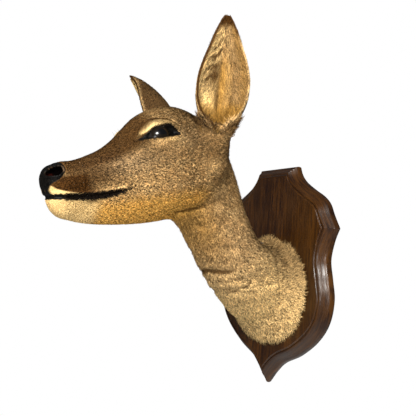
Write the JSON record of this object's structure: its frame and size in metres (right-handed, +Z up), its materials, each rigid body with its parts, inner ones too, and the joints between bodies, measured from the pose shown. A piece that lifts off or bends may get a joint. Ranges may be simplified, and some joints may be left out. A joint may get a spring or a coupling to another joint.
{
  "type": "roe deer shoulder mount on a shield plaque",
  "caption": "Stuffed head and neck of a roe deer doe, turned a little to its left, on a varnished wooden shield that hangs on a wall.",
  "frame": {"origin": "middle of the plaque's flat back, where it meets the wall", "axes": "+Z up along the shield, +Y into the wall, so the deer looks along -Y; +X is the deer's own left"},
  "size_m": [0.228, 0.3013, 0.3916],
  "materials": {
    "head_coat": "short brown hair, darker on the forehead and nose",
    "pale_coat": "short cream hair of the chin, tan under the jaw",
    "nose_skin": "bare black skin, pebbled, half gloss",
    "neck_coat": "dense golden brown hair with dark tips",
    "ear_coat": "dark short hair outside, long cream hair inside",
    "glass_eye": "polished, almost black",
    "varnished_wood": "dark stain under glossy varnish",
    "steel_screw": "bright zinc"
  },
  "bodies": {
    "root": {"head": "head_coat", "lower_jaw": "pale_coat", "nose_pad": "nose_skin", "neck": "neck_coat", "ear_left": "ear_coat", "ear_right": "ear_coat", "eye_left": "glass_eye", "eye_right": "glass_eye", "plaque_board": "varnished_wood", "screw_1": "steel_screw", "screw_2": "steel_screw"}
  },
  "joints": []
}
